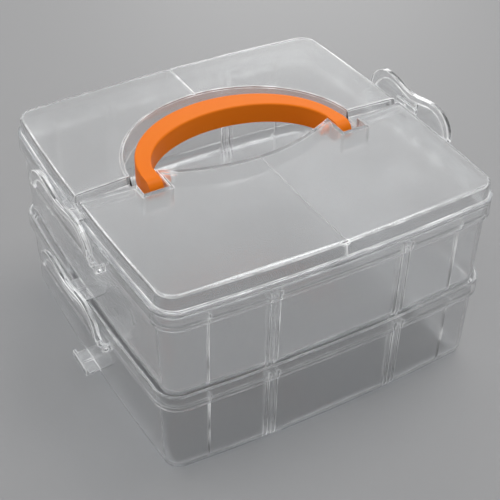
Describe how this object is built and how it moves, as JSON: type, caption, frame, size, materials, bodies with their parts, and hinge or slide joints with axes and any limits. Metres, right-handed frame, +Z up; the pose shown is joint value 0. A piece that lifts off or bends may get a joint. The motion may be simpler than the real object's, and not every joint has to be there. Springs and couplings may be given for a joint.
{
  "type": "art supply box",
  "caption": "Square clear carry box with two stacked trays slotted for dividers, a lid with a fold-down handle in a hand well, and swing-up side latches.",
  "frame": {"origin": "centre of the underside of the lower tray, on the surface it stands on", "axes": "+Z up; +X to the right, so that latches are on the left and right sides; the front faces -Y and the folded handle lies towards +Y"},
  "size_m": [0.2576, 0.2284, 0.1469],
  "materials": {
    "clear_plastic": "clear moulded polystyrene, glossy",
    "orange_plastic": "opaque orange moulded plastic, satin"
  },
  "bodies": {
    "lower_tray": {"lower_tray": "clear_plastic"},
    "upper_tray": {"upper_tray": "clear_plastic"},
    "lid": {"lid": "clear_plastic"},
    "handle": {"handle": "orange_plastic"},
    "latch_lower_left": {"latch_lower_left": "clear_plastic"},
    "latch_lower_right": {"latch_lower_right": "clear_plastic"},
    "latch_upper_left": {"latch_upper_left": "clear_plastic"},
    "latch_upper_right": {"latch_upper_right": "clear_plastic"}
  },
  "joints": [
    {"name": "upper_tray_lift", "type": "slide", "parent": "lower_tray", "child": "upper_tray", "axis": [0, 0, 1], "range_m": [0, 0.09]},
    {"name": "lid_lift", "type": "slide", "parent": "upper_tray", "child": "lid", "axis": [0, 0, 1], "range_m": [0, 0.12]},
    {"name": "handle_fold", "type": "hinge", "parent": "lid", "child": "handle", "pos_m": [0, 0, 0.1345], "axis": [1, 0, 0], "range_deg": [0, 95]},
    {"name": "latch_lower_left_swing", "type": "hinge", "parent": "lower_tray", "child": "latch_lower_left", "pos_m": [-0.1217, 0, 0.0577], "axis": [0, -1, 0], "range_deg": [0, 135]},
    {"name": "latch_lower_right_swing", "type": "hinge", "parent": "lower_tray", "child": "latch_lower_right", "pos_m": [0.1217, 0, 0.0577], "axis": [0, 1, 0], "range_deg": [0, 135]},
    {"name": "latch_upper_left_swing", "type": "hinge", "parent": "upper_tray", "child": "latch_upper_left", "pos_m": [-0.1217, 0, 0.1192], "axis": [0, -1, 0], "range_deg": [0, 135]},
    {"name": "latch_upper_right_swing", "type": "hinge", "parent": "upper_tray", "child": "latch_upper_right", "pos_m": [0.1217, 0, 0.1192], "axis": [0, 1, 0], "range_deg": [0, 135]}
  ]
}
